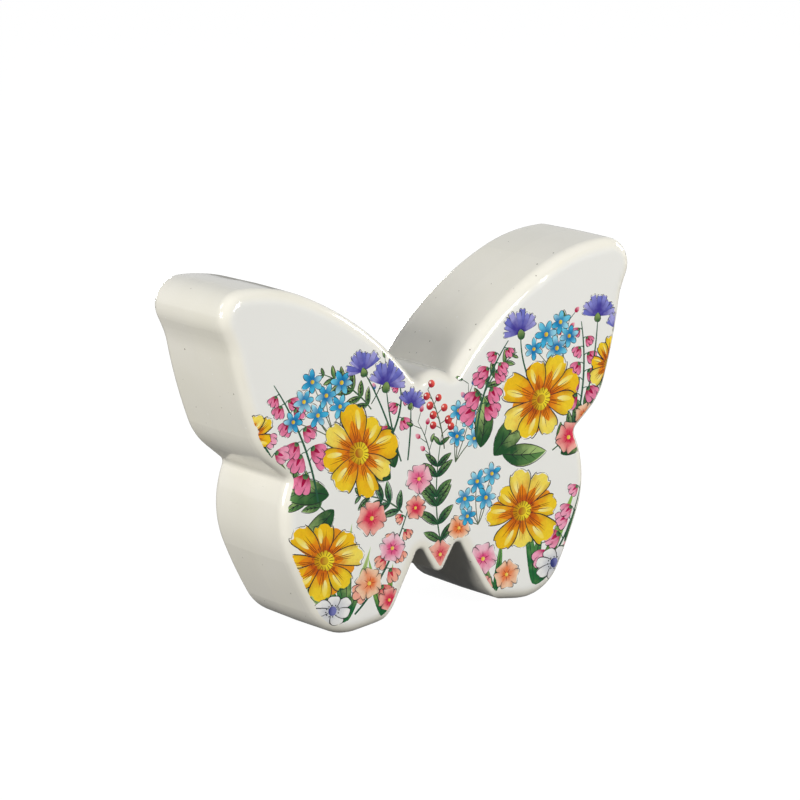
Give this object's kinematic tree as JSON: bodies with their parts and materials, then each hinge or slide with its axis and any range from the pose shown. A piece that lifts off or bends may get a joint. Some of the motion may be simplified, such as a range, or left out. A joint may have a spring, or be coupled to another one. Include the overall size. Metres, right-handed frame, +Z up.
{
  "type": "butterfly ornament",
  "caption": "Free-standing hollow ceramic butterfly with rounded rims, a printed floral film on its front and felt pads under its lower wing lobes.",
  "frame": {"origin": "on the surface that the ornament stands on, under the middle of its box", "axes": "+X across the wings to the ornament's right-hand side as seen from the front, the printed front faces -Y, +Z up"},
  "size_m": [0.1894, 0.0512, 0.138],
  "materials": {
    "glazed_ceramic": "glossy cream-white glaze with fine pinholes",
    "printed_transfer": "fired floral transfer print under a gloss glaze",
    "felt": "matt felt"
  },
  "bodies": {
    "root": {"ceramic_body": "glazed_ceramic", "floral_transfer": "printed_transfer", "foot_pad_left_front": "felt", "foot_pad_left_rear": "felt", "foot_pad_right_front": "felt", "foot_pad_right_rear": "felt"}
  },
  "joints": []
}
